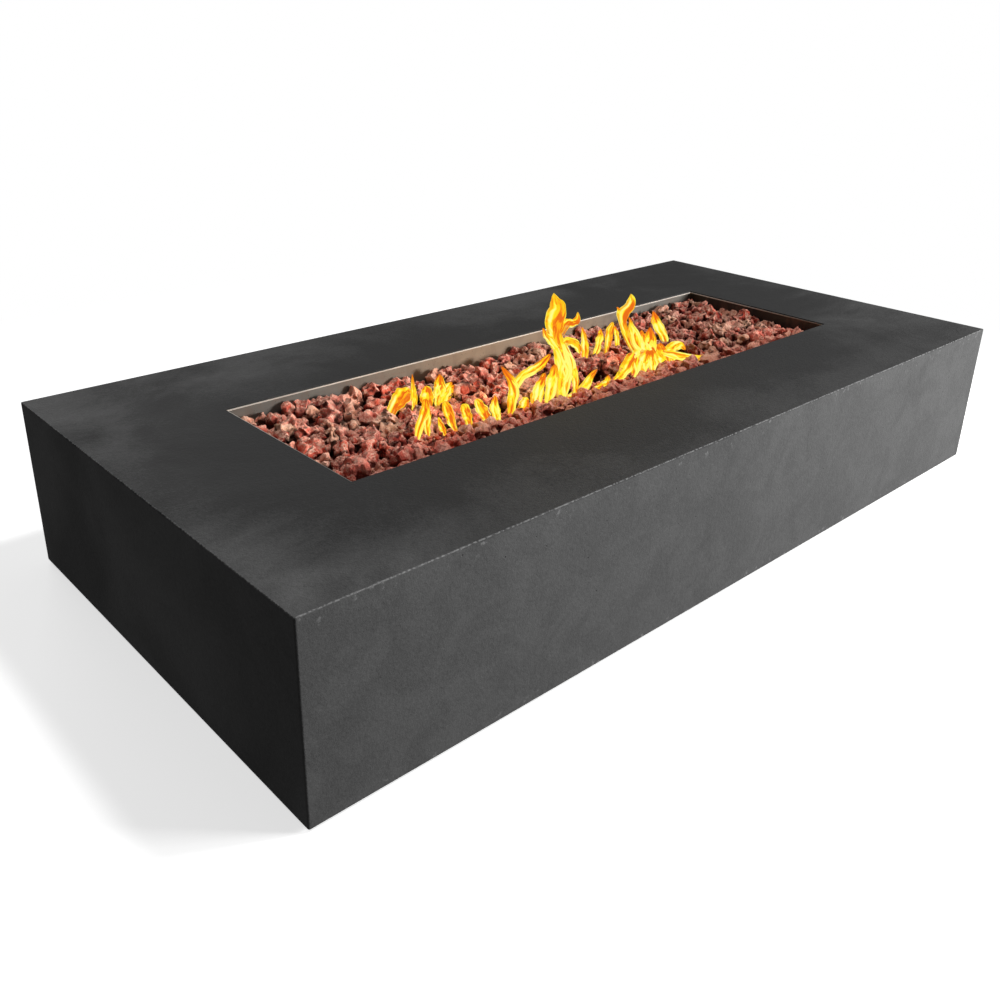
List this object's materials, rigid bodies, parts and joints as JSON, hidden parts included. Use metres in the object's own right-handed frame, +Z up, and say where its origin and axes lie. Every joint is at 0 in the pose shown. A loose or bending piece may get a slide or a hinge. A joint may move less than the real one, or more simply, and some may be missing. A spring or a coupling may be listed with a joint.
{
  "type": "fire pit table",
  "caption": "Low rectangular cast-concrete gas fire pit table with a recessed steel fire pan, tube burner, lava rock, flames, and a recessed control box on one end.",
  "frame": {"origin": "on the ground under the middle of the table", "axes": "+X along the table's length towards the end with the controls, +Y towards the long side with the gas inlet, +Z up"},
  "size_m": [1.676, 0.82, 0.4403],
  "materials": {
    "concrete": "matte",
    "pan_steel": "satin",
    "burner_steel": "satin",
    "galvanised_steel": "satin",
    "fastener_steel": "satin",
    "box_steel": "satin",
    "brass": "satin",
    "spring_steel": "satin",
    "hose_steel": "satin",
    "black_plastic": "matte",
    "knob_metal": "satin",
    "button_red": "gloss",
    "ceramic": "satin",
    "lead_silicone": "matte",
    "copper_lead": "satin",
    "pad_rubber": "matte",
    "lava": "matte",
    "lava_fine": "matte",
    "flame": "gloss"
  },
  "bodies": {
    "table": {"concrete_shell": "concrete", "foot_pads": "pad_rubber", "slab_inserts": "brass", "wall_inserts": "brass", "pan_rail_front": "galvanised_steel", "pan_rail_rear": "galvanised_steel", "rail_bolts": "fastener_steel", "inlet_bolts": "fastener_steel", "washers": "fastener_steel", "fire_pan": "pan_steel", "burner_tube_front": "burner_steel", "burner_tube_rear": "burner_steel", "burner_caps": "burner_steel", "crossbar_stubs": "burner_steel", "hub_tee": "burner_steel", "hub_nipple": "burner_steel", "hub_washer": "burner_steel", "hub_locknut": "burner_steel", "burner_supports": "burner_steel", "inlet_elbow": "galvanised_steel", "air_mixer": "galvanised_steel", "orifice_fitting": "brass", "gas_valve_body": "brass", "valve_spring": "spring_steel", "panel_nut": "fastener_steel", "valve_elbow": "brass", "hose_nuts": "brass", "burner_hose": "hose_steel", "inlet_hose": "hose_steel", "control_box": "box_steel", "box_screws": "fastener_steel", "igniter_body": "black_plastic", "igniter_nut": "black_plastic", "igniter_spring": "spring_steel", "electrode_insulator": "ceramic", "electrode_rod": "spring_steel", "flame_sensor": "copper_lead", "ignition_bracket": "burner_steel", "lead_boot": "lead_silicone", "ignition_lead": "lead_silicone", "sensor_lead": "copper_lead", "inlet_plate": "galvanised_steel", "gas_inlet_fitting": "brass", "inlet_locknut": "brass", "vent_plates": "box_steel", "vent_screws": "fastener_steel", "lava_filler": "lava_fine", "lava_rocks_left": "lava", "lava_rocks_middle": "lava", "lava_rocks_right": "lava", "flames": "flame"},
    "valve_washer": {"thrust_washer": "brass"},
    "knob": {"control_knob": "knob_metal", "valve_stem": "brass"},
    "igniter_button": {"igniter_button": "button_red"}
  },
  "joints": [
    {"name": "knob_push", "type": "slide", "parent": "table", "child": "valve_washer", "axis": [-1, 0, 0], "range_m": [0, 0.003], "stiffness_N_per_m": 900, "springref_m": -0.002, "deforming": ["valve_spring"]},
    {"name": "knob_turn", "type": "hinge", "parent": "valve_washer", "child": "knob", "pos_m": [0.8, -0.028, 0.13], "axis": [1, 0, 0], "range_deg": [0, 200]},
    {"name": "igniter_push", "type": "slide", "parent": "table", "child": "igniter_button", "axis": [-1, 0, 0], "range_m": [0, 0.004], "stiffness_N_per_m": 600, "springref_m": -0.002, "deforming": ["igniter_spring"]}
  ]
}
